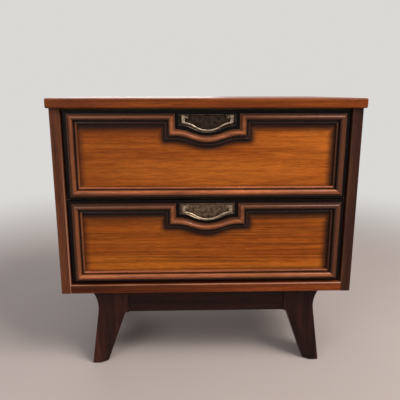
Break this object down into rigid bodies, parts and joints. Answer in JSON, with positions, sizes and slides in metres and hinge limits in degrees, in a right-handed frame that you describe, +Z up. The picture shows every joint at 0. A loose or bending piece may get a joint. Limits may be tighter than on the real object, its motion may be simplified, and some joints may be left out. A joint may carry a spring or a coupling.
{
  "type": "nightstand with drawers",
  "caption": "Low wooden nightstand with sliding drawers, applied moulded fronts, swinging bail pulls and a splayed base.",
  "frame": {"origin": "on the floor, under the middle of the whole nightstand", "axes": "+X to the right seen from the front, +Y from the drawers to the back, +Z up"},
  "size_m": [0.61, 0.406, 0.571],
  "materials": {
    "walnut_top": "veneered walnut, satin lacquer",
    "walnut_case": "veneered walnut, satin lacquer",
    "walnut_rail": "solid walnut, satin lacquer",
    "walnut_moulding": "solid walnut moulding, satin lacquer",
    "face_veneer": "figured walnut veneer, satin lacquer with shaded edges",
    "black_field": "hardwood, black lacquer, satin",
    "dark_base": "hardwood, dark brown lacquer",
    "plain_wood": "unfinished secondary hardwood",
    "ply": "unfinished thin plywood or hardboard",
    "brass_pull": "antique brass, worn",
    "steel_fixing": "zinc plated steel",
    "glide_metal": "nickel plated steel"
  },
  "bodies": {
    "case": {"apron_dowels": "plain_wood", "apron_front": "dark_base", "apron_left": "dark_base", "apron_rear": "dark_base", "apron_right": "dark_base", "back_nails": "steel_fixing", "back_panel": "ply", "base_cleats": "plain_wood", "bottom_panel": "plain_wood", "bottom_rail": "walnut_rail", "centre_guides": "plain_wood", "divider_rail_front": "plain_wood", "divider_rail_rear": "plain_wood", "drawer_runners": "plain_wood", "drawer_stops": "plain_wood", "foot_glides": "glide_metal", "glue_blocks": "plain_wood", "leg_front_left": "dark_base", "leg_front_right": "dark_base", "leg_rear_left": "dark_base", "leg_rear_right": "dark_base", "side_panel_left": "walnut_case", "side_panel_right": "walnut_case", "top_panel": "walnut_top", "top_stretcher_front": "plain_wood", "top_stretcher_rear": "plain_wood", "wood_screws": "steel_fixing"},
    "lower_drawer": {"lower_back": "plain_wood", "lower_bottom": "ply", "lower_face_veneer": "face_veneer", "lower_front": "black_field", "lower_guide_cleats": "plain_wood", "lower_moulding_bottom": "walnut_moulding", "lower_moulding_left": "walnut_moulding", "lower_moulding_notch": "walnut_moulding", "lower_moulding_right": "walnut_moulding", "lower_moulding_top": "walnut_moulding", "lower_pull_backplate": "brass_pull", "lower_pull_posts": "brass_pull", "lower_pull_screws": "steel_fixing", "lower_side_left": "plain_wood", "lower_side_right": "plain_wood"},
    "upper_drawer": {"upper_back": "plain_wood", "upper_bottom": "ply", "upper_face_veneer": "face_veneer", "upper_front": "black_field", "upper_guide_cleats": "plain_wood", "upper_moulding_bottom": "walnut_moulding", "upper_moulding_left": "walnut_moulding", "upper_moulding_notch": "walnut_moulding", "upper_moulding_right": "walnut_moulding", "upper_moulding_top": "walnut_moulding", "upper_pull_backplate": "brass_pull", "upper_pull_posts": "brass_pull", "upper_pull_screws": "steel_fixing", "upper_side_left": "plain_wood", "upper_side_right": "plain_wood"},
    "lower_bail": {"lower_pull_bail": "brass_pull"},
    "upper_bail": {"upper_pull_bail": "brass_pull"}
  },
  "joints": [
    {"name": "lower_drawer_slide", "type": "slide", "parent": "case", "child": "lower_drawer", "axis": [0, -1, 0], "range_m": [0, 0.27]},
    {"name": "lower_bail_swing", "type": "hinge", "parent": "lower_drawer", "child": "lower_bail", "pos_m": [0, -0.1965, 0.36], "axis": [-1, 0, 0], "range_deg": [0, 80]},
    {"name": "upper_drawer_slide", "type": "slide", "parent": "case", "child": "upper_drawer", "axis": [0, -1, 0], "range_m": [0, 0.27]},
    {"name": "upper_bail_swing", "type": "hinge", "parent": "upper_drawer", "child": "upper_bail", "pos_m": [0, -0.1965, 0.536], "axis": [-1, 0, 0], "range_deg": [0, 80]}
  ]
}
